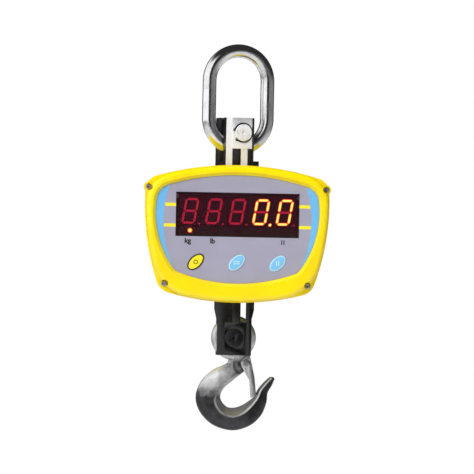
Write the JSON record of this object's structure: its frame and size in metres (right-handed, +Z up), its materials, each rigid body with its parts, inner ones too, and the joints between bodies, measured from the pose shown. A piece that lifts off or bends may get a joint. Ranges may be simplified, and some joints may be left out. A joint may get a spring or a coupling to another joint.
{
  "type": "crane scale",
  "caption": "Hanging electronic scale: an oblong link above, a yellow case with a red numeric display and push buttons, and a latched hook below.",
  "frame": {"origin": "bearing point at the top inside of the suspension link, on the link's middle plane", "axes": "+X to the right seen from the display side, +Y to the rear, +Z up along the line of pull"},
  "size_m": [0.2176, 0.104, 0.4511],
  "materials": {
    "link_chrome": "polished, rubbed at the bearing points",
    "fork_bright": "milled and bright plated",
    "fork_dark": "milled and dark plated",
    "pin_steel": "ground",
    "pin_dark": "ground, dark plated",
    "ring_steel": "spring steel, oiled",
    "hook_forged": "forged, plated, worn bright on the saddle",
    "latch_zinc": "pressed sheet, zinc plated",
    "rivet_steel": "plated",
    "spring_steel": "drawn wire",
    "bezel_yellow": "moulded, satin gloss",
    "case_yellow": "moulded, fine texture",
    "gasket_rubber": "black",
    "screw_steel": "plated",
    "panel_sheet": "sheet",
    "overlay_print": "printed film, fine grain",
    "window_red": "dark red filter",
    "button_yellow": "printed, dark edge",
    "button_blue": "printed, pale edge",
    "board_green": "solder mask",
    "chip_black": "moulded",
    "digit_face": "red segments in a dark face",
    "led_red": "tinted",
    "brass_post": "turned",
    "cell_steel": "ground",
    "cover_sheet": "sheet",
    "bracket_sheet": "zinc plated sheet",
    "battery_case": "moulded",
    "tag_brass": "tinned",
    "pad_foam": "foam",
    "socket_black": "moulded",
    "cable_grey": "sheath"
  },
  "bodies": {
    "link": {"master_link": "link_chrome"},
    "scale": {"upper_clevis": "fork_bright", "upper_pin": "pin_steel", "upper_pin_rings": "ring_steel", "lower_clevis": "fork_dark", "lower_pin": "pin_dark", "lower_pin_ring": "ring_steel", "load_cell": "cell_steel", "gauge_covers": "cover_sheet", "cell_cross_pins": "pin_steel", "cell_brackets": "bracket_sheet", "cell_bracket_screws": "screw_steel", "front_bezel": "bezel_yellow", "rear_case": "case_yellow", "case_gasket": "gasket_rubber", "case_screws": "screw_steel", "top_seal": "gasket_rubber", "bottom_seal": "gasket_rubber", "panel_plate": "panel_sheet", "overlay_film": "overlay_print", "display_window": "window_red", "button_switches": "chip_black", "display_board": "board_green", "board_standoffs": "brass_post", "board_screws": "screw_steel", "status_leds": "led_red", "remote_receiver": "chip_black", "main_board": "board_green", "main_board_parts": "chip_black", "main_board_screws": "screw_steel", "battery": "battery_case", "battery_terminals": "tag_brass", "battery_strap": "bracket_sheet", "battery_pad": "pad_foam", "charge_socket": "socket_black", "charge_socket_nut": "screw_steel", "cell_cable": "cable_grey", "led_digit_1": "digit_face", "led_digit_2": "digit_face", "led_digit_3": "digit_face", "led_digit_4": "digit_face", "led_digit_5": "digit_face"},
    "hook": {"hook": "hook_forged", "latch_rivet": "rivet_steel"},
    "latch": {"hook_latch": "latch_zinc", "latch_spring": "spring_steel"},
    "button_zero": {"button_zero": "button_yellow"},
    "button_units": {"button_units": "button_blue"},
    "button_hold": {"button_hold": "button_blue"}
  },
  "joints": [
    {"name": "link_pivot", "type": "hinge", "parent": "link", "child": "scale", "pos_m": [0, 0, -0.0877], "axis": [-0.2504, 0.9681, 0], "range_deg": [-45, 45]},
    {"name": "hook_pivot", "type": "hinge", "parent": "scale", "child": "hook", "pos_m": [0, 0, -0.3267], "axis": [0, 1, 0], "range_deg": [-35, 35]},
    {"name": "latch_pivot", "type": "hinge", "parent": "hook", "child": "latch", "pos_m": [0.0147, 0, -0.3566], "axis": [0, 1, 0], "range_deg": [0, 35], "stiffness_Nm_per_rad": 0.03, "springref_deg": -17.19},
    {"name": "button_zero_press", "type": "slide", "parent": "scale", "child": "button_zero", "axis": [0, 1, 0], "range_m": [0, 0.0008], "stiffness_N_per_m": 900, "springref_m": -0.0005},
    {"name": "button_units_press", "type": "slide", "parent": "scale", "child": "button_units", "axis": [0, 1, 0], "range_m": [0, 0.0008], "stiffness_N_per_m": 900, "springref_m": -0.0005},
    {"name": "button_hold_press", "type": "slide", "parent": "scale", "child": "button_hold", "axis": [0, 1, 0], "range_m": [0, 0.0008], "stiffness_N_per_m": 900, "springref_m": -0.0005}
  ]
}
